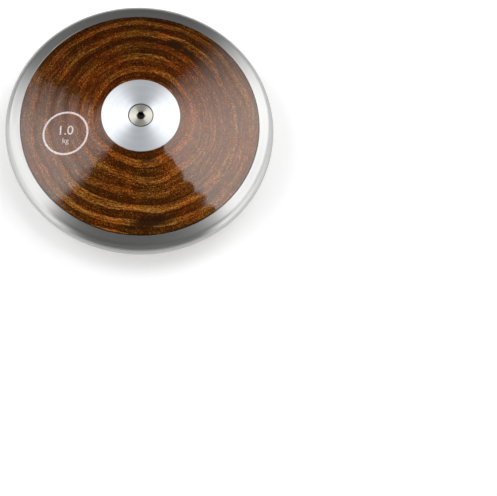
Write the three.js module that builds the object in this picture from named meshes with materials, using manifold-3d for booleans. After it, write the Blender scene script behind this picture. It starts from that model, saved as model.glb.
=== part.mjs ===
// A throwing discus of the 1 kg class, built from the pieces that it comes apart into.
// Millimetres, with +Z up along the disc's axis. The origin is the middle of the lower face.
// Two turned plywood side plates grip the steel rim's web between them. A countersunk screw and
// a sleeve nut pull the centre plates together, through a stack of weights in a central pocket.
import * as THREE from "three";
import { mergeVertices } from "three/addons/utils/BufferGeometryUtils.js";
import Module from "manifold-3d";

const wasm = await Module();
wasm.setup();

// Whole disc
const discDiameter = 181;
const centreThickness = 38;
const centrePlateDiameter = 52;
const edgeRadius = 6.2;
const rimFaceWidth = 10.4;

// Rim
const webThickness = 4;
const webWidth = 8;
const webEdgeChamfer = 0.6;
const rootChamfer = 0.8;
const rimEdgeBreak = 0.25;

// Side plates
const sidePlateFit = 0.1;
const webEndGap = 0.5;
const woodEdgeBreak = 0.3;
const boltHoleGap = 0.5;

// Centre plates
const flangeThickness = 3;
const centrePlateFit = 0.1;
const hubDiameter = 22;
const hubLength = 5;
const hubEndGap = 0.5;
const hubChamfer = 0.6;
const plateEdgeBreak = 0.25;

// Countersunk heads, alike on the screw and the sleeve nut
const headDiameter = 16;
const headLand = 0.8;
const headEdgeBreak = 0.4;
const headSink = 0.15;
const headGap = 0.2;
const socketSides = 6;
const socketAcrossFlats = 5;
const socketDepth = 3;
const socketMouthChamfer = 0.25;
const socketConeDepth = 1;

// Clamp screw and sleeve nut
const threadDiameter = 8;
const threadGap = 0.15;
const shankGap = 0.3;
const sleeveWall = 1.5;
const sleeveFloor = 2;
const sleeveEndChamfer = 0.5;
const boreConeDepth = 1.5;
const screwTipGap = 1;
const screwTipChamfer = 1;
const clampGap = 1.5;

// Weights round the sleeve nut
const coreDiameter = 42;
const coreThickness = 3;
const trimWasherInset = 1;
const trimWasherThickness = 0.8;
const packingThickness = 1.5;
const ringGap = 0.3;
const trimWasherCount = 4;

// Dowels through the rim's web
const dowelDiameter = 4;
const dowelDepth = 3;
const dowelGap = 0.15;
const dowelEndGap = 0.3;
const dowelChamfer = 0.5;
const dowelCount = 6;

// How far a cutter runs past the face that it opens
const overrun = 1;

// Facets round each kind of piece
const discFacets = 64;
const plateFacets = 48;
const fastenerFacets = 36;
const dowelFacets = 16;
const edgeArcSteps = 10;

// Places, all measured from the middle plane of the disc
const half = centreThickness / 2;
const discRadius = discDiameter / 2;
const woodRadius = discRadius - rimFaceWidth;
const plateRadius = centrePlateDiameter / 2;
const edgeCentreRadius = discRadius - edgeRadius;
const webHalf = webThickness / 2;
const webInnerRadius = woodRadius - webWidth;
const hubRadius = hubDiameter / 2;
const hubEnd = half - flangeThickness - hubLength;
const headRadius = headDiameter / 2;
const headFace = half - headSink;
const seatMouthRadius = headRadius + headGap;
const socketInnerRadius = socketAcrossFlats / 2;
const socketCornerRadius = socketInnerRadius / Math.cos(Math.PI / socketSides);
const socketEnd = headFace - socketDepth;
const threadRadius = threadDiameter / 2;
const sleeveBoreRadius = threadRadius + threadGap;
const barrelRadius = sleeveBoreRadius + sleeveWall;
const sleeveEnd = -(hubEnd - clampGap);
const sleeveBoreEnd = socketEnd - socketConeDepth - sleeveFloor - boreConeDepth;
const screwTip = -(sleeveBoreEnd - screwTipGap);
const boltHoleRadius = barrelRadius + boltHoleGap;
const ringBoreRadius = barrelRadius + ringGap;
const coreRadius = coreDiameter / 2;
const pocketRadius = coreRadius + ringGap;
const dowelCircleRadius = woodRadius - webWidth / 2;
const dowelRadius = dowelDiameter / 2;
const dowelHoleRadius = dowelRadius + dowelGap;
const dowelHoleEnd = webHalf + dowelDepth + dowelEndGap;

// The layers in the pocket, from the bottom up
const layers = [
  { name: "lower_packing_ring", radius: coreRadius, thickness: packingThickness, finish: "packing" },
  { name: "core_weight", radius: coreRadius, thickness: coreThickness, finish: "core" },
  ...Array.from({ length: trimWasherCount }, (_, i) => ({
    name: `trim_washer_${i + 1}`,
    radius: coreRadius - trimWasherInset,
    thickness: trimWasherThickness,
    finish: "washer",
  })),
  { name: "upper_packing_ring", radius: coreRadius, thickness: packingThickness, finish: "packing" },
];
const pocketHalf = layers.reduce((sum, layer) => sum + layer.thickness, 0) / 2;

// The side's straight taper leaves the centre plate's edge and runs into the rim's round edge
// as a tangent, so its angle follows from the two.
const taperRun = edgeCentreRadius - plateRadius;
const taperAngle = Math.atan2(half, taperRun) - Math.asin(edgeRadius / Math.hypot(half, taperRun));

function sideHeight(radius) {
  return half - (radius - plateRadius) * Math.tan(taperAngle);
}

const finishes = {
  rim: { color: 0xb9bcc0, roughness: 0.32, metalness: 1 },
  plywood: { color: 0x5a3214, roughness: 0.3, metalness: 0 },
  plate: { color: 0xdfe2e6, roughness: 0.3, metalness: 1 },
  fastener: { color: 0xa8a59c, roughness: 0.35, metalness: 1 },
  core: { color: 0x77797c, roughness: 0.5, metalness: 1 },
  washer: { color: 0x9a9da1, roughness: 0.4, metalness: 1 },
  packing: { color: 0x242424, roughness: 0.9, metalness: 0 },
  dowel: { color: 0x8c8f93, roughness: 0.4, metalness: 1 },
};

const disc = new THREE.Group();
disc.position.z = half;

function add(name, geometry, finish) {
  const mesh = new THREE.Mesh(geometry, new THREE.MeshStandardMaterial(finishes[finish]));
  mesh.name = name;
  disc.add(mesh);
  return mesh;
}

// Turns a piece over onto the disc's lower side.
function turnOver(mesh) {
  mesh.rotation.x = Math.PI;
}

// Spins a profile of [radius, height] points about +Z. A ring's profile closes on itself, and
// any other starts and ends on the axis. It runs outward below and inward above.
function turned(profile, facets) {
  const onAxis = profile[0][0] === 0;
  const points = onAxis ? profile : [...profile, profile[0]];
  const outline = points.map(([radius, height]) => new THREE.Vector2(radius, height));
  return new THREE.LatheGeometry(outline, facets).rotateX(Math.PI / 2);
}

// A plain cylinder or prism about +Z between two heights.
function prism(radius, low, high, facets) {
  return new THREE.CylinderGeometry(radius, radius, high - low, facets)
    .rotateX(Math.PI / 2)
    .translate(0, 0, (low + high) / 2);
}

function toSolid(geometry) {
  const bare = geometry.clone();
  bare.deleteAttribute("normal");
  bare.deleteAttribute("uv");
  const merged = mergeVertices(bare);
  return new wasm.Manifold(
    new wasm.Mesh({
      numProp: 3,
      vertProperties: merged.attributes.position.array,
      triVerts: new Uint32Array(merged.index.array),
    }),
  );
}

function cut(geometry, cutters) {
  const solid = cutters.reduce((left, cutter) => left.subtract(toSolid(cutter)), toSolid(geometry));
  const mesh = solid.getMesh();
  return new THREE.BufferGeometry()
    .setAttribute("position", new THREE.BufferAttribute(mesh.vertProperties, mesh.numProp))
    .setIndex(new THREE.BufferAttribute(mesh.triVerts, 1));
}

// The dowels' places on their circle, as [x, y].
const dowelPlaces = Array.from({ length: dowelCount }, (_, i) => {
  const angle = (i / dowelCount) * 2 * Math.PI;
  return [dowelCircleRadius * Math.cos(angle), dowelCircleRadius * Math.sin(angle)];
});

function dowelHoles(low, high) {
  return dowelPlaces.map(([x, y]) => prism(dowelHoleRadius, low, high, dowelFacets).translate(x, y, 0));
}

// The rim is one turning: a round edge, two short tapered faces, two shoulders that the side
// plates butt against, and a flat web that lies between them.
function rim() {
  const lower = [
    [webInnerRadius, -(webHalf - webEdgeChamfer)],
    [webInnerRadius + webEdgeChamfer, -webHalf],
    [woodRadius - rootChamfer, -webHalf],
    [woodRadius, -(webHalf + rootChamfer)],
    [woodRadius, -(sideHeight(woodRadius) - rimEdgeBreak)],
    [woodRadius + rimEdgeBreak, -sideHeight(woodRadius + rimEdgeBreak)],
  ];
  const upper = lower.map(([radius, height]) => [radius, -height]).reverse();
  const reach = Math.PI / 2 - taperAngle;
  const edge = Array.from({ length: edgeArcSteps + 1 }, (_, i) => {
    const angle = reach * ((2 * i) / edgeArcSteps - 1);
    return [edgeCentreRadius + edgeRadius * Math.cos(angle), edgeRadius * Math.sin(angle)];
  });
  const holes = dowelHoles(-webHalf - overrun, webHalf + overrun);
  return cut(turned([...lower, ...edge, ...upper], discFacets), holes);
}

// A side plate as it lies on top. The lower one is the same piece turned over. Its rebate takes
// the rim's web, its pocket half of the stack of weights, and its recess the centre plate.
function sidePlate() {
  const outer = woodRadius - sidePlateFit;
  const rebateRadius = webInnerRadius - webEndGap;
  const recessRadius = plateRadius + centrePlateFit;
  const recessFloor = half - flangeThickness;
  const hubHoleRadius = hubRadius + centrePlateFit;
  const hubHoleEnd = hubEnd - hubEndGap;
  const profile = [
    [boltHoleRadius, pocketHalf],
    [pocketRadius, pocketHalf],
    [pocketRadius, 0],
    [rebateRadius, 0],
    [rebateRadius, webHalf],
    [outer - rootChamfer, webHalf],
    [outer, webHalf + rootChamfer],
    [outer, sideHeight(outer) - woodEdgeBreak],
    [outer - woodEdgeBreak, sideHeight(outer - woodEdgeBreak)],
    [recessRadius, sideHeight(recessRadius)],
    [recessRadius, recessFloor],
    [hubHoleRadius, recessFloor],
    [hubHoleRadius, hubHoleEnd],
    [boltHoleRadius, hubHoleEnd],
  ];
  return cut(turned(profile, discFacets), dowelHoles(webHalf - overrun, dowelHoleEnd));
}

// A centre plate as it lies on top: a flange let into the wood flush with its surface, and a hub
// with the countersunk seat for a head. The bore is the screw's, or the sleeve nut's.
function centrePlate(boreRadius) {
  const seatTop = half - headSink - headLand;
  const flangeUnder = half - flangeThickness;
  return turned(
    [
      [boreRadius, hubEnd],
      [hubRadius - hubChamfer, hubEnd],
      [hubRadius, hubEnd + hubChamfer],
      [hubRadius, flangeUnder],
      [plateRadius, flangeUnder],
      [plateRadius, half - plateEdgeBreak],
      [plateRadius - plateEdgeBreak, half],
      [seatMouthRadius, half],
      [seatMouthRadius, seatTop],
      [boreRadius, seatTop - (seatMouthRadius - boreRadius)],
    ],
    plateFacets,
  );
}

// The outside of a countersunk head from its cone up to the middle of its face, for a piece
// whose shank has the given radius. The cone is a right angle across.
function headProfile(shankRadius) {
  const landFoot = headFace - headLand;
  return [
    [shankRadius, landFoot - (headRadius - shankRadius)],
    [headRadius, landFoot],
    [headRadius, headFace - headEdgeBreak],
    [headRadius - headEdgeBreak, headFace],
    [0, headFace],
  ];
}

// The hexagon socket's cutters: the hexagon, its broken mouth and the drilled cone at its foot.
function socketCutters() {
  const mouthRadius = socketCornerRadius + socketMouthChamfer;
  const mouth = turned(
    [
      [0, headFace - mouthRadius],
      [mouthRadius + overrun, headFace + overrun],
      [0, headFace + overrun],
    ],
    fastenerFacets,
  );
  const cone = turned(
    [
      [0, socketEnd - socketConeDepth],
      [socketInnerRadius, socketEnd],
      [0, socketEnd],
    ],
    fastenerFacets,
  );
  const hexagon = prism(socketCornerRadius, socketEnd, headFace + overrun, socketSides);
  return [hexagon, mouth, cone];
}

function clampScrew() {
  const profile = [
    [0, screwTip],
    [threadRadius - screwTipChamfer, screwTip],
    [threadRadius, screwTip + screwTipChamfer],
    ...headProfile(threadRadius),
  ];
  return cut(turned(profile, fastenerFacets), socketCutters());
}

// The sleeve nut as it would lie with its head on top, open below for the screw.
function sleeveNut() {
  const profile = [
    [0, sleeveBoreEnd + boreConeDepth],
    [sleeveBoreRadius, sleeveBoreEnd],
    [sleeveBoreRadius, sleeveEnd + sleeveEndChamfer],
    [sleeveBoreRadius + sleeveEndChamfer, sleeveEnd],
    [barrelRadius - sleeveEndChamfer, sleeveEnd],
    [barrelRadius, sleeveEnd + sleeveEndChamfer],
    ...headProfile(barrelRadius),
  ];
  return cut(turned(profile, fastenerFacets), socketCutters());
}

function flatRing(radius, low, thickness) {
  return turned(
    [
      [ringBoreRadius, low],
      [radius, low],
      [radius, low + thickness],
      [ringBoreRadius, low + thickness],
    ],
    fastenerFacets,
  );
}

function addWeightStack() {
  let low = -pocketHalf;
  for (const { name, radius, thickness, finish } of layers) {
    add(name, flatRing(radius, low, thickness), finish);
    low += thickness;
  }
}

function dowel() {
  const end = webHalf + dowelDepth;
  return turned(
    [
      [0, -end],
      [dowelRadius - dowelChamfer, -end],
      [dowelRadius, -end + dowelChamfer],
      [dowelRadius, end - dowelChamfer],
      [dowelRadius - dowelChamfer, end],
      [0, end],
    ],
    dowelFacets,
  );
}

function addDowels() {
  dowelPlaces.forEach(([x, y], i) => {
    add(`rim_dowel_${i + 1}`, dowel(), "dowel").position.set(x, y, 0);
  });
}

add("rim", rim(), "rim");
add("upper_side_plate", sidePlate(), "plywood");
turnOver(add("lower_side_plate", sidePlate(), "plywood"));
add("upper_centre_plate", centrePlate(threadRadius + shankGap), "plate");
turnOver(add("lower_centre_plate", centrePlate(barrelRadius + shankGap), "plate"));
add("clamp_screw", clampScrew(), "fastener");
turnOver(add("sleeve_nut", sleeveNut(), "fastener"));
addWeightStack();
addDowels();

export default disc;
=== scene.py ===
# A throwing discus of the 1 kg class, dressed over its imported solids.
# Metres, with +Z up along the disc's axis and the origin in the middle of the lower face.
import math

import bmesh
import bpy
from mathutils import Matrix, Vector


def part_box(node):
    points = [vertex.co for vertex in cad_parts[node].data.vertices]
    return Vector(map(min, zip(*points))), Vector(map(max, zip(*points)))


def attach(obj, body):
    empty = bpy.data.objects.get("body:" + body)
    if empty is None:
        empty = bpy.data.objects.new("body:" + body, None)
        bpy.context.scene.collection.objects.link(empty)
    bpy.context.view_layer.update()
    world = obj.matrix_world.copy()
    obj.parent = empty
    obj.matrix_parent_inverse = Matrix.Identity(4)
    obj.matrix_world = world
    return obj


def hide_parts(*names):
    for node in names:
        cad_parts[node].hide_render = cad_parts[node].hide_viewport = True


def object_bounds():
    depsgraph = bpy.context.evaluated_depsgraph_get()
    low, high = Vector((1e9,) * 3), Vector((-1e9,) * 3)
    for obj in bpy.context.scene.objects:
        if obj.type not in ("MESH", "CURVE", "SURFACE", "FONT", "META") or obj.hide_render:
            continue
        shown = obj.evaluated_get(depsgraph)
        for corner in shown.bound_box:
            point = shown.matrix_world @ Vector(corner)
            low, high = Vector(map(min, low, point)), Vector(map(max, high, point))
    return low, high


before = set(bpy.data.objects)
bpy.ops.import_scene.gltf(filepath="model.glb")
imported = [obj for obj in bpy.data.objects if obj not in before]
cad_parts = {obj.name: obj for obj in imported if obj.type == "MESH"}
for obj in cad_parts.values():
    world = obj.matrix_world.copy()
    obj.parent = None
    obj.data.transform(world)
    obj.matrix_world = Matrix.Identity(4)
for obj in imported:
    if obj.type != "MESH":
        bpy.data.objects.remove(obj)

cad_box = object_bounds()
mm = 0.001
up = Vector((0, 0, 1))


# Sizes that follow the solids. Heights are measured from the disc's middle plane.
def outer_radius(node):
    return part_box(node)[1].x


def top_height(node):
    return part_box(node)[1].z - half


def bottom_height(node):
    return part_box(node)[0].z - half


half = cad_box[1].z / 2
disc_radius = outer_radius("rim")
wood_radius = outer_radius("upper_side_plate")
plate_radius = outer_radius("upper_centre_plate")
hub_end = bottom_height("upper_centre_plate")
head_radius = outer_radius("clamp_screw")
head_face = top_height("clamp_screw")
screw_tip = bottom_height("clamp_screw")
sleeve_end = top_height("sleeve_nut")
core_radius = outer_radius("core_weight")
pocket_half = top_height("upper_packing_ring")
dowel_end = top_height("rim_dowel_1")
dowel_low, dowel_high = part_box("rim_dowel_1")
dowel_radius = (dowel_high.x - dowel_low.x) / 2

# Dark knots on the upper side: the middle's x and y, the length and the breadth, in millimetres,
# and the turn in degrees. Their height above the floor and their depth are in millimetres too.
knots = [
    (25.0, 56.8, 17, 10, -18),
    (33.6, 49.6, 13, 7, -45),
    (5.5, -71.4, 36, 11, 8),
    (37.6, -51.5, 9, 6, 30),
    (3.4, -31.8, 17, 6.5, 6),
]
knot_height = 29.5
knot_depth = 28

# Sizes of shapes that the solids' boxes don't give
edge_radius = 6.2 * mm
side_plate_fit = 0.1 * mm
web_half = 2 * mm
web_width = 8 * mm
web_edge_round = 0.6 * mm
web_end_gap = 0.5 * mm
root_chamfer = 0.8 * mm
rim_edge_round = 0.25 * mm
wood_edge_round = 0.3 * mm
flange_thickness = 3 * mm
centre_plate_fit = 0.1 * mm
hub_radius = 11 * mm
hub_end_gap = 0.5 * mm
hub_round = 0.6 * mm
plate_edge_round = 0.25 * mm
seat_gap = 0.2 * mm
seat_edge_round = 0.12 * mm
head_land = 0.8 * mm
head_edge_round = 0.4 * mm
socket_sides = 6
socket_inner_radius = 2.5 * mm
socket_depth = 3 * mm
socket_cone_depth = 1 * mm
socket_chamfer = 0.25 * mm
thread_radius = 4 * mm
thread_gap = 0.15 * mm
shank_gap = 0.3 * mm
sleeve_wall = 1.5 * mm
sleeve_floor = 2 * mm
bore_cone_depth = 1.5 * mm
bolt_hole_gap = 0.5 * mm
ring_gap = 0.3 * mm
dowel_gap = 0.15 * mm
dowel_end_gap = 0.3 * mm
overrun = 1 * mm
weld_distance = 0.004 * mm
sharp_angle = math.radians(30)

rim_inner_radius = wood_radius + side_plate_fit
web_inner_radius = rim_inner_radius - web_width
edge_centre_radius = disc_radius - edge_radius
taper_run = edge_centre_radius - plate_radius
taper_angle = math.atan2(half, taper_run) - math.asin(edge_radius / math.hypot(half, taper_run))
sleeve_bore_radius = thread_radius + thread_gap
barrel_radius = sleeve_bore_radius + sleeve_wall
socket_end = head_face - socket_depth
socket_corner_radius = socket_inner_radius / math.cos(math.pi / socket_sides)
ring_bore_radius = barrel_radius + ring_gap
disc_segments = 256
plate_segments = 192
fastener_segments = 96
dowel_segments = 48


def side_height(radius):
    """Height of the disc's straight tapered side."""
    return half - (radius - plate_radius) * math.tan(taper_angle)


# Meshes
def rounded(corners, steps=5):
    """A profile through [radius, height, fillet] corners, with an arc wherever a fillet is given."""
    points = []
    count = len(corners)
    for i, corner in enumerate(corners):
        here = Vector(corner[:2])
        fillet = corner[2] if len(corner) > 2 else 0
        if not fillet:
            points.append(here)
            continue
        to_last = (Vector(corners[i - 1][:2]) - here).normalized()
        to_next = (Vector(corners[(i + 1) % count][:2]) - here).normalized()
        half_angle = to_last.angle(to_next) / 2
        centre = here + (to_last + to_next).normalized() * (fillet / math.sin(half_angle))
        start = here + to_last * (fillet / math.tan(half_angle)) - centre
        turn = start.angle_signed(here + to_next * (fillet / math.tan(half_angle)) - centre)
        for step in range(steps + 1):
            points.append(centre + Matrix.Rotation(-turn * step / steps, 2) @ start)
    return points


def turned(name, profile, segments, closed=True):
    """Spins a profile about +Z. A closed profile makes a ring, and an open one ends on the axis."""
    mesh_build = bmesh.new()
    rings = []
    for radius, height in profile:
        if radius == 0:
            rings.append([mesh_build.verts.new((0, 0, half + height))])
            continue
        rings.append([
            mesh_build.verts.new((
                radius * math.cos(2 * math.pi * i / segments),
                radius * math.sin(2 * math.pi * i / segments),
                half + height,
            ))
            for i in range(segments)
        ])
    pairs = list(zip(rings, rings[1:]))
    if closed:
        pairs.append((rings[-1], rings[0]))
    for low, high in pairs:
        for i in range(segments):
            j = (i + 1) % segments
            below = [low[i % len(low)], low[j % len(low)]]
            above = [high[j % len(high)], high[i % len(high)]]
            unique = list(dict.fromkeys(below + above))
            if len(unique) > 2:
                mesh_build.faces.new(unique)
    bmesh.ops.recalc_face_normals(mesh_build, faces=mesh_build.faces)
    return finished(name, mesh_build)


def finished(name, mesh_build):
    """Makes a linked object, with smooth faces and sharp corners, of a mesh that is being built."""
    mesh = bpy.data.meshes.new(name)
    mesh_build.to_mesh(mesh)
    mesh_build.free()
    smooth(mesh)
    piece = bpy.data.objects.new(name, mesh)
    bpy.context.scene.collection.objects.link(piece)
    return piece


def smooth(mesh):
    mesh.shade_smooth()
    mesh.set_sharp_from_angle(angle=sharp_angle)


def cut(piece, cutters):
    """Cuts the cutters' shapes out of a piece, welds corners that meet and deletes the cutters."""
    for cutter in cutters:
        modifier = piece.modifiers.new("cut", "BOOLEAN")
        modifier.operation = "DIFFERENCE"
        modifier.solver = "EXACT"
        modifier.object = cutter
    evaluated = piece.evaluated_get(bpy.context.evaluated_depsgraph_get())
    mesh = bpy.data.meshes.new_from_object(evaluated)
    piece.modifiers.clear()
    piece.data = mesh
    mesh_build = bmesh.new()
    mesh_build.from_mesh(mesh)
    bmesh.ops.remove_doubles(mesh_build, verts=mesh_build.verts, dist=weld_distance)
    bmesh.ops.dissolve_degenerate(mesh_build, edges=mesh_build.edges, dist=weld_distance)
    mesh_build.to_mesh(mesh)
    mesh_build.free()
    smooth(mesh)
    for cutter in cutters:
        bpy.data.objects.remove(cutter)
    return piece


def turn_over(piece):
    """Moves a piece to the same place on the disc's lower side."""
    middle = Matrix.Translation(up * half)
    piece.data.transform(middle @ Matrix.Rotation(math.pi, 4, "X") @ middle.inverted())
    return piece


def dress(piece, node, material):
    """Gives a piece its finish, and lets it stand for a node of the solids."""
    piece.data.materials.clear()
    piece.data.materials.append(material)
    normals = piece.modifiers.new("normals", "WEIGHTED_NORMAL")
    normals.keep_sharp = True
    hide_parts(node)
    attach(piece, "root")


# Node trees
class Nodes:
    """A node tree, with short ways to add and join its nodes."""

    def __init__(self, tree):
        self.tree = tree

    def add(self, kind, **settings):
        node = self.tree.nodes.new(kind)
        for name, value in settings.items():
            setattr(node, name, value)
        return node

    def link(self, source, target):
        self.tree.links.new(source, target)

    def feed(self, socket, value):
        """Sets a socket to a number, or joins another node's output to it."""
        if isinstance(value, bpy.types.NodeSocket):
            self.link(value, socket)
        else:
            socket.default_value = value

    def math(self, operation, first, second=0.0, third=0.0):
        node = self.add("ShaderNodeMath", operation=operation)
        for socket, value in zip(node.inputs, (first, second, third)):
            self.feed(socket, value)
        return node.outputs[0]

    def vector(self, operation, first, second=(0, 0, 0)):
        node = self.add("ShaderNodeVectorMath", operation=operation)
        self.feed(node.inputs[0], first)
        if operation == "SCALE":
            self.feed(node.inputs["Scale"], second)
            return node.outputs[0]
        self.feed(node.inputs[1], second)
        return node.outputs["Value" if operation == "LENGTH" else 0]

    def combine(self, x, y, z):
        node = self.add("ShaderNodeCombineXYZ")
        for socket, value in zip(node.inputs, (x, y, z)):
            self.feed(socket, value)
        return node.outputs[0]

    def noise(self, place, scale=1.0, detail=2.0, roughness=0.5):
        node = self.add("ShaderNodeTexNoise", noise_dimensions="3D")
        self.feed(node.inputs["Vector"], place)
        self.feed(node.inputs["Scale"], scale)
        self.feed(node.inputs["Detail"], detail)
        self.feed(node.inputs["Roughness"], roughness)
        return node.outputs[0]

    def noise_vector(self, place, scale=1.0, detail=2.0):
        """Noise in three separate numbers."""
        node = self.add("ShaderNodeTexNoise", noise_dimensions="3D")
        self.feed(node.inputs["Vector"], place)
        self.feed(node.inputs["Scale"], scale)
        self.feed(node.inputs["Detail"], detail)
        return node.outputs[1]

    def swing(self, place, scale=1.0, detail=2.0, roughness=0.5):
        """Noise that swings about zero."""
        return self.math("SUBTRACT", self.noise(place, scale, detail, roughness), 0.5)

    def total(self, first, *terms):
        """A value plus (value, factor) terms."""
        result = first
        for value, factor in terms:
            result = self.math("MULTIPLY_ADD", value, factor, result)
        return result

    def split(self, vector):
        node = self.add("ShaderNodeSeparateXYZ")
        self.link(vector, node.inputs[0])
        return node.outputs[0], node.outputs[1], node.outputs[2]

    def random(self, seed):
        node = self.add("ShaderNodeTexWhiteNoise", noise_dimensions="1D")
        self.feed(node.inputs["W"], seed)
        return node.outputs["Value"]

    def remap(self, value, low, high, new_low=0.0, new_high=1.0, smooth=True):
        node = self.add("ShaderNodeMapRange", interpolation_type="SMOOTHSTEP" if smooth else "LINEAR")
        for socket, item in zip(node.inputs, (value, low, high, new_low, new_high)):
            self.feed(socket, item)
        return node.outputs[0]

    def mix(self, share, first, second):
        node = self.add("ShaderNodeMix", data_type="FLOAT")
        self.feed(node.inputs[0], share)
        self.feed(node.inputs[2], first)
        self.feed(node.inputs[3], second)
        return node.outputs[0]

    def mix_colour(self, share, first, second, blend="MIX"):
        node = self.add("ShaderNodeMix", data_type="RGBA", blend_type=blend)
        self.feed(node.inputs[0], share)
        self.feed(node.inputs[6], first)
        self.feed(node.inputs[7], second)
        return node.outputs[2]

    def ramp(self, value, stops):
        """A colour ramp through (place, colour) stops."""
        node = self.add("ShaderNodeValToRGB")
        self.feed(node.inputs[0], value)
        elements = node.color_ramp.elements
        while len(elements) < len(stops):
            elements.new(1.0)
        for element, (place, colour) in zip(elements, stops):
            element.position = place
            element.color = colour
        return node.outputs[0]

    def bump(self, height, distance, strength=1.0, normal=None):
        node = self.add("ShaderNodeBump")
        self.feed(node.inputs["Height"], height)
        self.feed(node.inputs["Distance"], distance)
        self.feed(node.inputs["Strength"], strength)
        if normal is not None:
            self.feed(node.inputs["Normal"], normal)
        return node.outputs[0]


# Materials
class Shader(Nodes):
    """A material with one surface shader."""

    def __init__(self, name):
        self.material = bpy.data.materials.new(name)
        self.material.use_nodes = True
        super().__init__(self.material.node_tree)
        self.tree.nodes.clear()
        self.surface = self.add("ShaderNodeBsdfPrincipled")
        output = self.add("ShaderNodeOutputMaterial")
        self.link(self.surface.outputs["BSDF"], output.inputs["Surface"])

    def set(self, **values):
        """Sets the surface's own sockets, whose names are given with underscores."""
        for name, value in values.items():
            self.feed(self.surface.inputs[name.replace("_", " ")], value)

    def lacquer(self, ripple, marks):
        """Adds a brushed gloss coat, which ripples a little and sinks into the marks under it."""
        ripple_height = 0.12 * mm
        mark_depth = 0.006 * mm
        rippled = self.bump(ripple, ripple_height)
        self.set(
            Coat_Weight=1.0,
            Coat_Roughness=0.06,
            Coat_IOR=1.6,
            Coat_Normal=self.bump(marks, mark_depth, normal=rippled),
        )

    def millimetres(self):
        """The place on the piece, in millimetres."""
        return self.vector("SCALE", self.add("ShaderNodeTexCoord").outputs["Object"], 1 / mm)

    def around_axis(self):
        """The place on a turned piece as radius, angle and height, in millimetres and radians."""
        x, y, z = self.split(self.millimetres())
        x_square = self.math("MULTIPLY", x, x)
        y_square = self.math("MULTIPLY", y, y)
        radius = self.math("SQRT", self.math("ADD", x_square, y_square))
        return radius, self.math("ARCTAN2", y, x), z

    def radial_tangent(self):
        node = self.add("ShaderNodeTangent", direction_type="RADIAL", axis="Z")
        self.link(node.outputs[0], self.surface.inputs["Tangent"])


def colour(red, green, blue):
    """A colour from its 0 to 255 display values."""
    def linear(value):
        share = value / 255
        return share / 12.92 if share <= 0.04045 else ((share + 0.055) / 1.055) ** 2.4
    return (linear(red), linear(green), linear(blue), 1.0)


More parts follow.
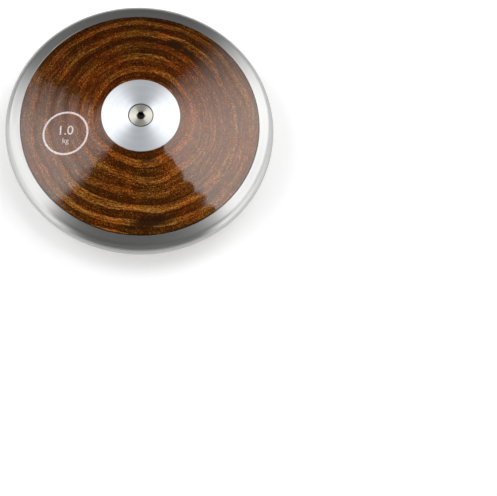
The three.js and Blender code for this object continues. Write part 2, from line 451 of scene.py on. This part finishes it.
class Plywood(Shader):
    """Stained cross-laid plies, which the taper cuts into rings. Its lengths are in millimetres."""

    ply_thickness = 1.05
    first_glue_line = 0.12
    grain_turn = math.radians(-17)

    def __init__(self, name):
        super().__init__(name)
        self.place = self.millimetres()
        self.x, self.y, self.z = self.split(self.place)
        self.lay_plies()
        self.lay_grain()
        self.streaks = self.fibres(length=14.0, breadth=0.9, thickness=0.45, detail=2.0, bend=12.0)
        self.flecks = self.fibres(length=1.9, breadth=0.42, thickness=0.14, detail=1.0, bend=12.0)

    def lay_plies(self):
        """Lays plies of uneven thickness, whose glue lines wander."""
        self.broad = self.swing(self.place, scale=1 / 45, detail=1.0)
        local = self.swing(self.place, scale=1 / 9, detail=2.0)
        uneven = self.swing(self.combine(0.0, 0.0, self.z), scale=1 / 2.1, detail=1.0)
        height = self.math("ADD", self.z, self.first_glue_line - half / mm)
        self.height = self.total(height, (self.broad, 2.2), (local, 0.35), (uneven, 1.2))
        self.layer = self.math("DIVIDE", self.height, self.ply_thickness)
        self.number = self.math("FLOOR", self.layer)
        self.crossed = self.math("FLOORED_MODULO", self.number, 2.0)

    def lay_grain(self):
        """Turns each ply's fibres at right angles to the next ply's, and shifts its pattern.

        The run-out is 1 where the fibres meet the taper end on, and -1 where they lie along it.
        """
        pattern_step = 17.3
        cosine = math.cos(self.grain_turn)
        sine = math.sin(self.grain_turn)
        along = self.math("MULTIPLY_ADD", self.x, cosine, self.math("MULTIPLY", self.y, sine))
        across = self.math("MULTIPLY_ADD", self.y, cosine, self.math("MULTIPLY", self.x, -sine))
        self.grain = self.mix(self.crossed, along, across)
        self.width = self.mix(self.crossed, across, along)
        self.veneer = self.math("MULTIPLY_ADD", self.number, pattern_step, self.height)
        grain_square = self.math("MULTIPLY", self.grain, self.grain)
        width_square = self.math("MULTIPLY", self.width, self.width)
        radius_square = self.math("ADD", grain_square, width_square)
        difference = self.math("SUBTRACT", grain_square, width_square)
        self.run_out = self.math("DIVIDE", difference, radius_square)
        self.radius = self.math("SQRT", radius_square)

    def fibres(self, length, breadth, thickness, detail, bend):
        """A pattern that is drawn out along each ply's fibres, which bend with the broad waves."""
        bent = self.math("MULTIPLY_ADD", self.broad, bend, self.width)
        spot = self.combine(
            self.math("DIVIDE", self.grain, length),
            self.math("DIVIDE", bent, breadth),
            self.math("DIVIDE", self.veneer, thickness),
        )
        return self.swing(spot, detail=detail, roughness=0.6)

    def growth_layers(self, length, thickness, detail):
        """Growth layers inside a ply, which the taper spreads into fine arcs."""
        spot = self.combine(
            self.math("DIVIDE", self.x, length),
            self.math("DIVIDE", self.y, length),
            self.math("DIVIDE", self.height, thickness),
        )
        return self.swing(spot, detail=detail)

    def by_run_out(self, lying, end_on):
        """A value that changes from fibres that lie along the taper to those that meet it end on."""
        return self.remap(self.run_out, -0.8, 0.6, lying, end_on)

    def tone(self):
        """How light the wood is, from 0 to 1. Fibres that are cut end on take more stain."""
        figure = self.fibres(length=40.0, breadth=6.0, thickness=2.5, detail=2.0, bend=18.0)
        vessels = self.fibres(length=3.4, breadth=0.62, thickness=0.2, detail=0.0, bend=12.0)
        pores = self.swing(self.place, scale=1 / 0.55, detail=1.0)
        long_arcs = self.growth_layers(length=24.0, thickness=0.3, detail=2.0)
        short_arcs = self.growth_layers(length=5.0, thickness=0.12, detail=1.0)
        own_tone = self.math("SUBTRACT", self.random(self.number), 0.5)
        turned_grain = self.math("SUBTRACT", self.crossed, 0.5)
        return self.total(
            0.402,
            # Painted light: the y term makes the wood lighter towards the front and darker towards the
            # back.
            (self.y, -0.001),
            (self.run_out, -0.07),
            (turned_grain, self.remap(self.radius, 30.0, 46.0, -0.38, -0.2)),
            (own_tone, 0.24),
            (figure, 0.4),
            (long_arcs, 0.9),
            (short_arcs, 0.5),
            (self.streaks, 0.35),
            (self.flecks, self.by_run_out(lying=1.5, end_on=1.8)),
            (pores, self.by_run_out(lying=0.9, end_on=1.3)),
            (self.remap(vessels, 0.06, 0.15), self.by_run_out(lying=-0.1, end_on=-0.2)),
        )

    def stained(self, tone):
        """The stained wood's colour, redder near the plate and yellower near the rim, in patches."""
        redder = (1.16, 0.89, 0.66, 1.0)
        yellower = (0.95, 1.04, 1.0, 1.0)
        base = self.ramp(tone, [
            (0.08, colour(36, 12, 0)),
            (0.28, colour(61, 24, 1)),
            (0.46, colour(88, 44, 7)),
            (0.62, colour(115, 64, 15)),
            (0.8, colour(147, 88, 32)),
            (0.98, colour(190, 135, 67)),
        ])
        patches = self.noise(self.place, scale=1 / 21, detail=1.0)
        hue = self.remap(self.total(patches, (self.radius, 0.005)), 0.58, 0.92)
        return self.mix_colour(1.0, base, self.mix_colour(hue, redder, yellower), "MULTIPLY")

    def with_glue_lines(self, base):
        """Darkens some of the glue lines, where stain gathers."""
        line_reach = 0.095
        near_line = self.remap(self.math("PINGPONG", self.layer, 0.5), 0.0, line_reach, 1.0, 0.0)
        open_line = self.remap(self.noise(self.place, scale=1 / 8, detail=2.0), 0.35, 0.6, 0.3, 1.0)
        return self.mix_colour(self.math("MULTIPLY", near_line, open_line), base, colour(40, 19, 7))

    def with_knots(self, base):
        """Darkens the knots, whose outlines wander."""
        warp = 5.0
        shift = self.vector("SCALE", self.noise_vector(self.place, scale=1 / 5, detail=3.0), warp)
        warped = self.vector("ADD", self.place, shift)
        mean_shift = Vector((warp / 2, warp / 2, warp / 2))
        for x, y, length, breadth, turn in knots:
            spot = self.add("ShaderNodeMapping", vector_type="TEXTURE")
            self.link(warped, spot.inputs["Vector"])
            spot.inputs["Location"].default_value = Vector((x, y, knot_height)) + mean_shift
            spot.inputs["Rotation"].default_value = (0, 0, math.radians(turn))
            spot.inputs["Scale"].default_value = (length / 2, breadth / 2, knot_depth / 2)
            dark = self.remap(self.vector("LENGTH", spot.outputs[0]), 0.4, 1.1, 0.95, 0.0)
            base = self.mix_colour(dark, base, colour(35, 17, 7))
        return base

    def with_painted_joint_shade(self, base):
        """Darkens the outer edge with painted shade, where the wood meets the rim."""
        edge = wood_radius / mm
        fade_width = 0.8
        full_width = 0.35
        joint_shade = self.remap(self.radius, edge - fade_width, edge - full_width)
        return self.mix_colour(self.math("MULTIPLY", joint_shade, 0.9), base, colour(20, 12, 7))


def plywood():
    """The side plates' stained plywood, under a gloss lacquer with a warm sheen below it."""
    ridge_share = 0.18
    fleck_depth = 0.03 * mm
    wood = Plywood("lacquered_plywood")
    base = wood.with_glue_lines(wood.stained(wood.tone()))
    wood.set(
        # The base colour carries painted shade along the outer edge, where the wood meets the rim.
        Base_Color=wood.with_painted_joint_shade(wood.with_knots(base)),
        Roughness=wood.remap(wood.streaks, -0.2, 0.2, 0.31, 0.26),
        Specular_IOR_Level=0.4,
        Specular_Tint=(1.0, 0.36, 0.05, 1.0),
        Normal=wood.bump(wood.flecks, fleck_depth, strength=0.5),
    )
    ridges = wood.math("SINE", wood.math("MULTIPLY", wood.layer, math.pi))
    ripple = wood.total(wood.noise(wood.place, scale=1 / 12, detail=1.0), (ridges, ridge_share))
    wood.lacquer(ripple, wood.math("ADD", wood.flecks, wood.streaks))
    return wood.material


def turned_metal(name, base, roughness, anisotropy, line_pitch, line_depth, painted_shades=()):
    """Bare metal with the fine rings that a lathe tool leaves round the axis.

    The lines' pitch is in millimetres. Each painted shade is a function that gives how far painted
    shade darkens the metal.
    """
    wide_pitch = line_pitch * 9
    wide_contrast = 0.18
    roughness_spread = 0.1
    quarter_turn = 0.25
    shader = Shader(name)
    radius, angle, height = shader.around_axis()
    travel = shader.math("ADD", radius, height)
    along_line = shader.math("MULTIPLY", angle, 0.8)
    fine_place = shader.combine(shader.math("DIVIDE", travel, line_pitch), along_line, 0.0)
    lines = shader.noise(fine_place, detail=3.0, roughness=0.7)
    wide_place = shader.combine(shader.math("DIVIDE", travel, wide_pitch), angle, 0.0)
    shade = shader.total(1.0, (shader.swing(wide_place, detail=2.0), wide_contrast))
    finish = shader.mix_colour(1.0, base, shader.combine(shade, shade, shade), "MULTIPLY")
    # Painted shade: each mask darkens the metal towards near black where shade would fall, deep in the
    # socket or in the gap at the seat.
    for painted_shade in painted_shades:
        finish = shader.mix_colour(painted_shade(shader, radius, height), finish, colour(22, 20, 18))
    smoothest = roughness * (1 - roughness_spread)
    roughest = roughness * (1 + roughness_spread)
    shader.set(
        Base_Color=finish,
        Metallic=1.0,
        Roughness=shader.remap(lines, 0.3, 0.7, smoothest, roughest),
        Anisotropic=anisotropy,
        Anisotropic_Rotation=quarter_turn,
        Normal=shader.bump(lines, line_depth),
    )
    shader.radial_tangent()
    return shader.material


def socket_painted_shade(shader, radius, height):
    """Painted shade in the foot of a fastener's socket, darker the deeper it lies."""
    edge_slack = 0.02
    darkest_below = head_face / mm - 1.0
    unshaded_above = head_face / mm - 0.3
    from_middle = shader.math("ABSOLUTE", shader.math("SUBTRACT", height, half / mm))
    in_socket = shader.math("LESS_THAN", radius, socket_corner_radius / mm + edge_slack)
    painted_shade = shader.remap(from_middle, darkest_below, unshaded_above, 0.97, 0.0)
    return shader.math("MULTIPLY", painted_shade, in_socket)


def seat_painted_shade(shader, radius, height):
    """Painted shade along the line between a fastener's head and its seat, the same at every height."""
    line = (head_radius + seat_gap / 2) / mm
    thick_reach = 0.2
    faint_reach = 0.44
    away = shader.math("ABSOLUTE", shader.math("SUBTRACT", radius, line))
    return shader.remap(away, thick_reach, faint_reach, 0.95, 0.0)


def rubber():
    """Matte black rubber."""
    grain_depth = 0.05 * mm
    shader = Shader("packing_rubber")
    grain = shader.noise(shader.millimetres(), scale=2.5, detail=3.0)
    shader.set(
        Base_Color=shader.ramp(grain, [(0.3, colour(26, 26, 26)), (0.7, colour(44, 43, 42))]),
        Roughness=shader.remap(grain, 0.3, 0.7, 0.8, 0.95),
        Normal=shader.bump(grain, grain_depth),
    )
    return shader.material


def print_ink():
    """White screen print under the lacquer, a little worn."""
    shader = Shader("print_ink")
    place = shader.millimetres()
    wear = shader.noise(place, scale=1.6, detail=3.0)
    shader.set(
        Base_Color=shader.ramp(wear, [(0.3, colour(179, 156, 152)), (0.55, colour(235, 223, 223))]),
        Roughness=shader.remap(wear, 0.3, 0.7, 0.4, 0.55),
        Specular_IOR_Level=0.0,
    )
    shader.lacquer(shader.noise(place, scale=1 / 12, detail=1.0), wear)
    return shader.material


# Pieces
def dowel_places():
    """The dowels' middles, from the solids' boxes."""
    places = []
    for name in sorted(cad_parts):
        if name.startswith("rim_dowel"):
            low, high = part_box(name)
            places.append((name, (low.x + high.x) / 2, (low.y + high.y) / 2))
    return places


def cylinder(radius, low, high, segments, x=0.0, y=0.0, turn=0.0):
    """A plain cutter, standing at x, y."""
    profile = [(0, low), (radius, low), (radius, high), (0, high)]
    piece = turned("cutter", profile, segments, closed=False)
    piece.data.transform(Matrix.Translation((x, y, 0)) @ Matrix.Rotation(turn, 4, "Z"))
    return piece


def dowel_holes(low, high):
    radius = dowel_radius + dowel_gap
    half_facet = math.pi / dowel_segments
    return [
        cylinder(radius, low, high, dowel_segments, x, y, half_facet)
        for name, x, y in dowel_places()
    ]


def rim():
    lower = [
        (web_inner_radius, -web_half, web_edge_round),
        (rim_inner_radius - root_chamfer, -web_half),
        (rim_inner_radius, -web_half - root_chamfer),
        (rim_inner_radius, -side_height(rim_inner_radius), rim_edge_round),
    ]
    reach = math.pi / 2 - taper_angle
    steps = 32
    edge = []
    for step in range(steps + 1):
        angle = reach * (2 * step / steps - 1)
        edge.append((
            edge_centre_radius + edge_radius * math.cos(angle),
            edge_radius * math.sin(angle),
        ))
    upper = [(corner[0], -corner[1], *corner[2:]) for corner in reversed(lower)]
    piece = turned("rim_turned", rounded(lower + edge + upper), disc_segments)
    return cut(piece, dowel_holes(-web_half - overrun, web_half + overrun))


def side_plate(name):
    """A side plate as it lies on top. The lower one is the same piece turned over."""
    rebate_radius = web_inner_radius - web_end_gap
    recess_radius = plate_radius + centre_plate_fit
    recess_floor = half - flange_thickness
    hub_hole_radius = hub_radius + centre_plate_fit
    hub_hole_end = hub_end - hub_end_gap
    bolt_hole_radius = barrel_radius + bolt_hole_gap
    pocket_radius = core_radius + ring_gap
    profile = rounded([
        (bolt_hole_radius, pocket_half),
        (pocket_radius, pocket_half),
        (pocket_radius, 0),
        (rebate_radius, 0),
        (rebate_radius, web_half),
        (wood_radius - root_chamfer, web_half),
        (wood_radius, web_half + root_chamfer),
        (wood_radius, side_height(wood_radius), wood_edge_round),
        (recess_radius, side_height(recess_radius)),
        (recess_radius, recess_floor),
        (hub_hole_radius, recess_floor),
        (hub_hole_radius, hub_hole_end),
        (bolt_hole_radius, hub_hole_end),
    ])
    piece = turned(name, profile, disc_segments)
    return cut(piece, dowel_holes(web_half - overrun, dowel_end + dowel_end_gap))


def centre_plate(name, bore_radius):
    """A centre plate as it lies on top, with the seat for a countersunk head."""
    seat_radius = head_radius + seat_gap
    seat_top = head_face - head_land
    flange_under = half - flange_thickness
    return turned(name, rounded([
        (bore_radius, hub_end),
        (hub_radius, hub_end, hub_round),
        (hub_radius, flange_under),
        (plate_radius, flange_under),
        (plate_radius, half, plate_edge_round),
        (seat_radius, half, seat_edge_round),
        (seat_radius, seat_top),
        (bore_radius, seat_top - (seat_radius - bore_radius)),
    ]), plate_segments)


def head_corners(shank_radius):
    """The outside of a countersunk head, from its cone to the middle of its face."""
    land_foot = head_face - head_land
    return [
        (shank_radius, land_foot - (head_radius - shank_radius)),
        (head_radius, land_foot),
        (head_radius, head_face, head_edge_round),
        (0, head_face),
    ]


def socket_cutters():
    """The hexagon socket, its broken mouth and the drilled cone at its foot."""
    mouth_radius = socket_corner_radius + socket_chamfer
    hexagon = cylinder(socket_corner_radius, socket_end, head_face + overrun, socket_sides)
    mouth = turned("cutter", [
        (0, head_face - mouth_radius),
        (mouth_radius + overrun, head_face + overrun),
        (0, head_face + overrun),
    ], fastener_segments, closed=False)
    cone = turned("cutter", [
        (0, socket_end - socket_cone_depth),
        (socket_inner_radius, socket_end),
        (0, socket_end),
    ], fastener_segments, closed=False)
    return [hexagon, mouth, cone]


def clamp_screw():
    tip_chamfer = 1 * mm
    profile = rounded([
        (0, screw_tip),
        (thread_radius - tip_chamfer, screw_tip),
        (thread_radius, screw_tip + tip_chamfer),
        *head_corners(thread_radius),
    ])
    piece = turned("clamp_screw_turned", profile, fastener_segments, closed=False)
    return cut(piece, socket_cutters())


def sleeve_nut():
    """The sleeve nut as it would lie with its head on top."""
    bore_end = socket_end - socket_cone_depth - sleeve_floor - bore_cone_depth
    end_chamfer = 0.5 * mm
    profile = rounded([
        (0, bore_end + bore_cone_depth),
        (sleeve_bore_radius, bore_end),
        (sleeve_bore_radius, -sleeve_end + end_chamfer),
        (sleeve_bore_radius + end_chamfer, -sleeve_end),
        (barrel_radius - end_chamfer, -sleeve_end),
        (barrel_radius, -sleeve_end + end_chamfer),
        *head_corners(barrel_radius),
    ])
    piece = turned("sleeve_nut_turned", profile, fastener_segments, closed=False)
    return cut(piece, socket_cutters())


def flat_ring(node, edge_round):
    """A ring of the stack of weights, in its solid's place."""
    radius = outer_radius(node)
    low = bottom_height(node)
    high = top_height(node)
    return turned(node + "_fine", rounded([
        (ring_bore_radius, low, edge_round),
        (radius, low, edge_round),
        (radius, high, edge_round),
        (ring_bore_radius, high, edge_round),
    ], steps=3), fastener_segments)


def dowel(node, x, y):
    end_round = 0.5 * mm
    piece = turned(node + "_fine", rounded([
        (0, -dowel_end),
        (dowel_radius, -dowel_end, end_round),
        (dowel_radius, dowel_end, end_round),
        (0, dowel_end),
    ]), dowel_segments, closed=False)
    piece.data.transform(Matrix.Translation((x, y, 0)))
    return piece


def print_on_taper(name, outline, x, y, turn):
    """Lays flat faces, drawn round the origin, on the upper side's taper as a thin layer of ink."""
    lift = 0.03 * mm
    longest_edge = 1.5 * mm
    straight_angle = 0.01
    splits = 3
    place = Matrix.Translation((x, y, 0)) @ Matrix.Rotation(turn, 4, "Z")
    layer = bmesh.new()
    layer.from_mesh(outline)
    layer.transform(place)
    bmesh.ops.dissolve_limit(layer, angle_limit=straight_angle, verts=layer.verts, edges=layer.edges)
    bmesh.ops.triangulate(layer, faces=layer.faces)
    for split in range(splits):
        long_edges = [edge for edge in layer.edges if edge.calc_length() > longest_edge]
        bmesh.ops.subdivide_edges(layer, edges=long_edges, cuts=1)
        bmesh.ops.triangulate(layer, faces=layer.faces)
    for vertex in layer.verts:
        radius = math.hypot(vertex.co.x, vertex.co.y)
        vertex.co.z = half + side_height(radius) + lift
    raised = bmesh.ops.extrude_face_region(layer, geom=layer.faces[:])
    for item in raised["geom"]:
        if isinstance(item, bmesh.types.BMVert):
            item.co.z -= 2 * lift
    bmesh.ops.recalc_face_normals(layer, faces=layer.faces)
    return finished(name, layer)


def flat_letters(body, height):
    """The faces of some plain lettering, centred on the origin."""
    curve = bpy.data.curves.new("lettering", "FONT")
    curve.body = body
    curve.size = height
    curve.align_x = "CENTER"
    curve.align_y = "CENTER"
    curve.resolution_u = 4
    carrier = bpy.data.objects.new("lettering", curve)
    bpy.context.scene.collection.objects.link(carrier)
    evaluated = carrier.evaluated_get(bpy.context.evaluated_depsgraph_get())
    mesh = bpy.data.meshes.new_from_object(evaluated)
    bpy.data.objects.remove(carrier)
    return mesh


def flat_circle(circle_radius, line_width):
    """The faces of a thin ring round the origin."""
    steps = 96
    angles = [2 * math.pi * i / steps for i in range(steps)]
    ring = bmesh.new()
    circles = []
    for radius in (circle_radius, circle_radius - line_width):
        circles.append([
            ring.verts.new((radius * math.cos(angle), radius * math.sin(angle), 0))
            for angle in angles
        ])
    for i in range(steps):
        j = (i + 1) % steps
        ring.faces.new((circles[0][i], circles[0][j], circles[1][j], circles[1][i]))
    mesh = bpy.data.meshes.new("circle")
    ring.to_mesh(mesh)
    ring.free()
    return mesh


def weight_mark(ink):
    """A plain printed ring that holds the disc's weight as a number."""
    x = -49.7 * mm
    y = -9.9 * mm
    turn = math.radians(-4)
    ring = flat_circle(circle_radius=15.2 * mm, line_width=1.3 * mm)
    number = flat_letters("1.0", height=9 * mm)
    unit = flat_letters("kg", height=5 * mm)
    number_y = y + 1.5 * mm
    unit_y = y - 5.5 * mm
    parts = [
        print_on_taper("weight_mark_ring", ring, x, y, turn),
        print_on_taper("weight_mark_number", number, x, number_y, turn),
        print_on_taper("weight_mark_unit", unit, x, unit_y, turn),
    ]
    for part in parts:
        part.data.materials.append(ink)
        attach(part, "root")


# Stage
def seen_rays(nodes):
    """One for rays from the camera, and one for rays that metal or glass sends on."""
    path = nodes.add("ShaderNodeLightPath")
    mirrored = nodes.math("MAXIMUM", path.outputs["Is Glossy Ray"], path.outputs["Is Transmission Ray"])
    return path.outputs["Is Camera Ray"], mirrored


def add_floor():
    """White paper that glows for the camera and in reflections, less so near the disc."""
    half_size = 3.0
    near_radius = 0.35
    far_radius = 1.1
    near_glow = 0.35
    mesh = bpy.data.meshes.new("floor")
    corners = [(x * half_size, y * half_size, 0) for x, y in ((-1, -1), (1, -1), (1, 1), (-1, 1))]
    mesh.from_pydata(corners, [], [(0, 1, 2, 3)])
    floor = bpy.data.objects.new("floor", mesh)
    bpy.context.scene.collection.objects.link(floor)
    paper = Shader("white_paper")
    camera_ray, mirrored_ray = seen_rays(paper)
    seen = paper.math("MAXIMUM", camera_ray, mirrored_ray)
    from_disc = paper.vector("LENGTH", paper.millimetres())
    glow = paper.remap(from_disc, near_radius / mm, far_radius / mm, near_glow, 1.0)
    paper.set(
        Base_Color=(0.82, 0.82, 0.82, 1.0),
        Roughness=0.9,
        Emission_Color=(1.0, 1.0, 1.0, 1.0),
        Emission_Strength=paper.math("MULTIPLY", seen, glow),
    )
    mesh.materials.append(paper.material)


def add_softbox(name, corner, outward, turn, size, radiance, ramp, splay=0.0, near_ramp=0.0):
    """A level soft box over the floor, set out from its near inner corner.

    It reaches outward to the left (-1) or right (1) and then back. Its light grows from nothing
    at the inner side to its full radiance over the ramp's width, and over the near ramp's width
    at the near side. A splay turns the near side towards the viewer.
    """
    box_height = 1.0
    hardest_ramp = 0.001
    width, depth = size
    forward = width * math.tan(splay)
    light = bpy.data.lights.new(name, "AREA")
    light.shape = "RECTANGLE"
    light.size = width
    light.size_y = depth + forward
    # This power gives the lamp's face a radiance of 1, which its nodes then scale
    light.energy = math.pi * light.size * light.size_y
    light.use_nodes = True
    nodes = Nodes(light.node_tree)
    share, back_share = nodes.split(nodes.add("ShaderNodeNewGeometry").outputs["Parametric"])[:2]
    inner = 0.5 - 0.5 * outward
    glow = nodes.remap(share, inner, inner + outward * ramp / width, 0.0, radiance, smooth=False)
    slant = nodes.remap(share, inner, inner + outward, forward / light.size_y, 0.0, smooth=False)
    past_near_side = nodes.math("SUBTRACT", back_share, slant)
    near_fade = nodes.remap(past_near_side, 0.0, (near_ramp + hardest_ramp) / light.size_y)
    strength = nodes.math("MULTIPLY", glow, near_fade)
    nodes.link(strength, light.node_tree.nodes["Emission"].inputs["Strength"])
    box = bpy.data.objects.new(name, light)
    rotation = Matrix.Rotation(turn, 4, "Z")
    middle = rotation @ Vector((outward * width / 2, light.size_y / 2 - forward, 0))
    box.matrix_world = Matrix.Translation(middle + Vector((*corner, box_height))) @ rotation
    box.visible_camera = False
    bpy.context.scene.collection.objects.link(box)


# The room's light by direction, whose x points right, y back and z up
def front_light(nodes, y, z):
    """A little light in front, less of it near the floor."""
    in_front = nodes.remap(y, -0.5, -0.3, 1.0, 0.0)
    return nodes.math("MULTIPLY", in_front, nodes.remap(z, 0.3, 0.5, 0.05, 0.27))


def back_light(nodes, y, z):
    """A trace of light low behind."""
    behind = nodes.remap(y, 0.5, 0.8)
    return nodes.math("MULTIPLY", behind, nodes.remap(z, 0.05, 0.6, 0.05, 0.0))


def side_light(nodes, x, y, z):
    """Bright sides: brighter towards the front, and highest a little forward of the middle."""
    front_end = nodes.remap(nodes.math("MULTIPLY_ADD", x, 0.04, y), -0.75, -0.55)
    back_end = nodes.remap(nodes.math("MULTIPLY_ADD", x, -0.07, y), 0.4, 0.7, 1.0, 0.0)
    off_middle = nodes.remap(nodes.math("ABSOLUTE", x), 0.35, 0.65)
    forward = nodes.total(1.3, (x, 0.02), (y, -0.9))
    from_crest = nodes.math("ABSOLUTE", nodes.math("ADD", y, 0.2))
    top = nodes.remap(from_crest, 0.05, 0.25, 1.12, 0.84)
    light = nodes.remap(z, 0.3, top, 1.3, 0.0)
    for share in (front_end, back_end, off_middle, forward):
        light = nodes.math("MULTIPLY", light, share)
    return light


def add_room():
    """Surroundings that are nearly dark except in front, low behind and at the sides.

    The camera sees plain white all round, and reflections see it near the horizon.
    """
    darkest = 0.02
    horizon_top = 0.09
    world = bpy.data.worlds.new("studio")
    bpy.context.scene.world = world
    world.use_nodes = True
    nodes = Nodes(world.node_tree)
    x, y, z = nodes.split(nodes.add("ShaderNodeTexCoord").outputs["Generated"])
    room = nodes.math("MAXIMUM", side_light(nodes, x, y, z), darkest)
    for light in (front_light(nodes, y, z), back_light(nodes, y, z)):
        room = nodes.math("MAXIMUM", room, light)
    camera_ray, mirrored_ray = seen_rays(nodes)
    horizon = nodes.math("MULTIPLY", mirrored_ray, nodes.remap(z, 0.0, horizon_top, 1.0, 0.0))
    strength = nodes.mix(camera_ray, nodes.math("MAXIMUM", room, horizon), 1.0)
    background = world.node_tree.nodes["Background"]
    background.inputs["Color"].default_value = (1.0, 1.0, 1.0, 1.0)
    nodes.link(strength, background.inputs["Strength"])


def add_studio():
    """Soft boxes over the disc's left, right and middle, in metres, and the room round them."""
    add_softbox(
        "left_softbox", corner=(-0.215, 0.11), outward=-1, turn=math.radians(27), size=(0.8, 1.4),
        radiance=2.75, ramp=0.26, splay=math.radians(10), near_ramp=0.08,
    )
    add_softbox(
        "right_softbox", corner=(-0.11, 0.225), outward=1, turn=math.radians(-31), size=(0.84, 2.0),
        radiance=3.15, ramp=0.516,
    )
    add_softbox(
        "middle_softbox", corner=(-0.25, 0.15), outward=1, turn=0.0, size=(0.5, 0.45),
        radiance=1.5, ramp=0.01,
    )
    add_room()
    bpy.context.scene.view_settings.view_transform = "Standard"


def add_camera():
    """The photograph's view: from 66 degrees up, with the disc in the picture's upper left."""
    image_width = 497
    image_height = 496
    focal_pixels = 1025.5
    disc_pixel = (141.06, 126.83)
    distance = 705.7 * mm
    elevation = math.radians(65.95)
    roll = math.radians(-0.96)

    back = Vector((0, -math.cos(elevation), math.sin(elevation)))
    right = Vector((1, 0, 0))
    above = back.cross(right)
    basis = Matrix((
        math.cos(roll) * right + math.sin(roll) * above,
        math.cos(roll) * above - math.sin(roll) * right,
        back,
    )).transposed()
    ray = Vector((disc_pixel[0] - image_width / 2, image_height / 2 - disc_pixel[1], -focal_pixels))
    turn = ray.rotation_difference(-up).to_matrix()

    camera = bpy.data.cameras.new("camera")
    camera.sensor_width = 36
    camera.lens = focal_pixels / image_width * camera.sensor_width
    camera.clip_start = 0.01
    eye = bpy.data.objects.new("camera", camera)
    eye.matrix_world = Matrix.Translation(up * half + back * distance) @ (basis @ turn).to_4x4()
    bpy.context.scene.collection.objects.link(eye)
    bpy.context.scene.camera = eye


# The picture and the disc
add_camera()
add_floor()
add_studio()

wood = plywood()
steel = turned_metal(
    "rim_steel", colour(181, 181, 180), roughness=0.308, anisotropy=0.861,
    line_pitch=0.25, line_depth=0.0011 * mm,
)
aluminium = turned_metal(
    "turned_aluminium", colour(233, 237, 242), roughness=0.385, anisotropy=0.84,
    line_pitch=0.3, line_depth=0.001 * mm, painted_shades=[seat_painted_shade],
)
stainless = turned_metal(
    "stainless_fastener", colour(206, 204, 193), roughness=0.36, anisotropy=0.97,
    line_pitch=0.4, line_depth=0.003 * mm, painted_shades=[socket_painted_shade, seat_painted_shade],
)
plain_steel = turned_metal(
    "weight_steel", colour(160, 160, 160), roughness=0.4, anisotropy=0.3,
    line_pitch=0.4, line_depth=0.002 * mm,
)
pin_steel = turned_metal(
    "dowel_steel", colour(180, 181, 183), roughness=0.25, anisotropy=0.3,
    line_pitch=0.3, line_depth=0.001 * mm,
)
black_rubber = rubber()

dress(rim(), "rim", steel)
dress(side_plate("upper_side_wood"), "upper_side_plate", wood)
dress(turn_over(side_plate("lower_side_wood")), "lower_side_plate", wood)
dress(
    centre_plate("upper_plate_turned", thread_radius + shank_gap),
    "upper_centre_plate", aluminium,
)
dress(
    turn_over(centre_plate("lower_plate_turned", barrel_radius + shank_gap)),
    "lower_centre_plate", aluminium,
)
dress(clamp_screw(), "clamp_screw", stainless)
dress(turn_over(sleeve_nut()), "sleeve_nut", stainless)
for node in ("lower_packing_ring", "upper_packing_ring"):
    dress(flat_ring(node, edge_round=0.2 * mm), node, black_rubber)
dress(flat_ring("core_weight", edge_round=0.3 * mm), "core_weight", plain_steel)
for node in sorted(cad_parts):
    if node.startswith("trim_washer"):
        dress(flat_ring(node, edge_round=0.1 * mm), node, plain_steel)
weight_mark(print_ink())
for node, x, y in dowel_places():
    dress(dowel(node, x, y), node, pin_steel)
